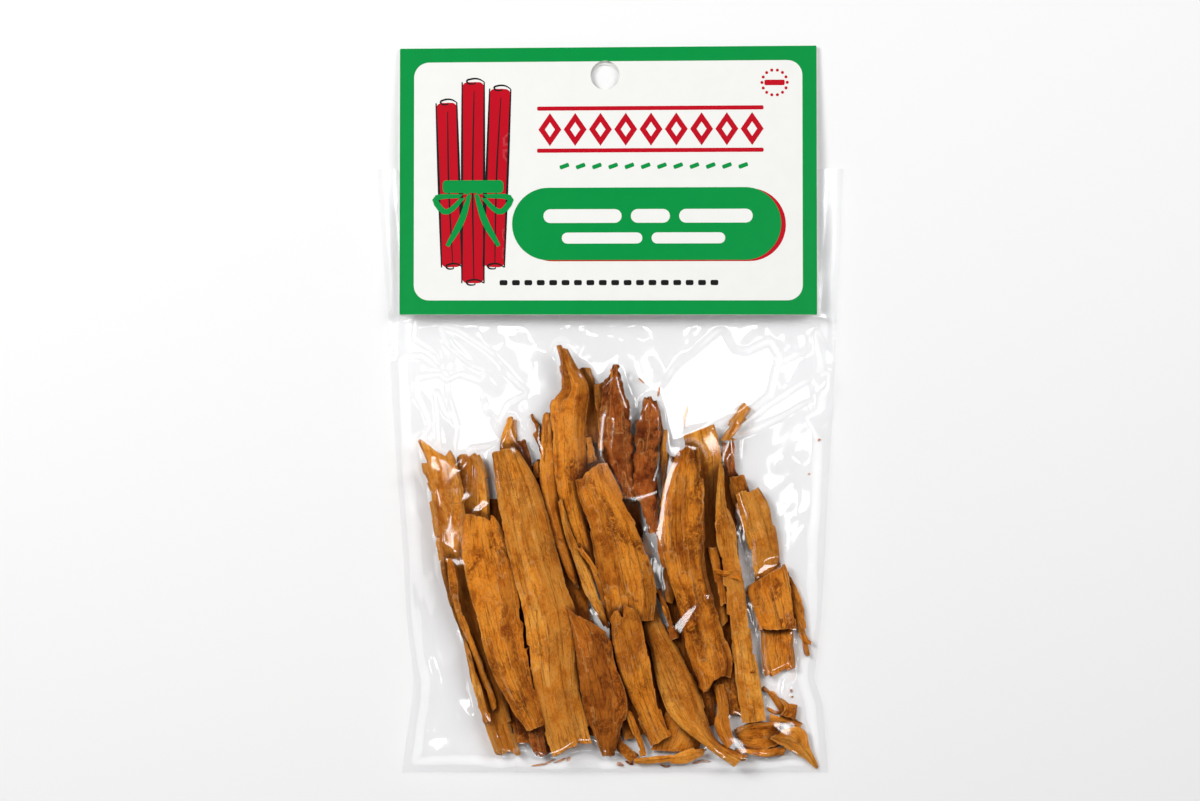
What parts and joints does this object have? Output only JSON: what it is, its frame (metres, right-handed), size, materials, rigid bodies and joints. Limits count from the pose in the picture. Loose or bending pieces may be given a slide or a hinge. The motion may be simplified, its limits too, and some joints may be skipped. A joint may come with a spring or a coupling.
{
  "type": "bag of cinnamon sticks",
  "caption": "Clear flat bag of split cinnamon bark, closed by a folded header card that is punched to hang on a hook; it lies on its back.",
  "frame": {"origin": "middle of the pack's underside as it lies on its back", "axes": "+X to the right as the front is read, +Y up the pack towards the card's fold, +Z out of the front"},
  "size_m": [0.1016, 0.158, 0.0137],
  "materials": {
    "clear_film": "clear, glossy and crumpled",
    "cinnamon_bark": "dry, matt and fibrous, orange-brown with darker blotches",
    "printed_card": "satin card, white with a green border and red, green and black print"
  },
  "bodies": {
    "root": {"filled_bag": "clear_film", "header_card": "printed_card"}
  },
  "joints": []
}
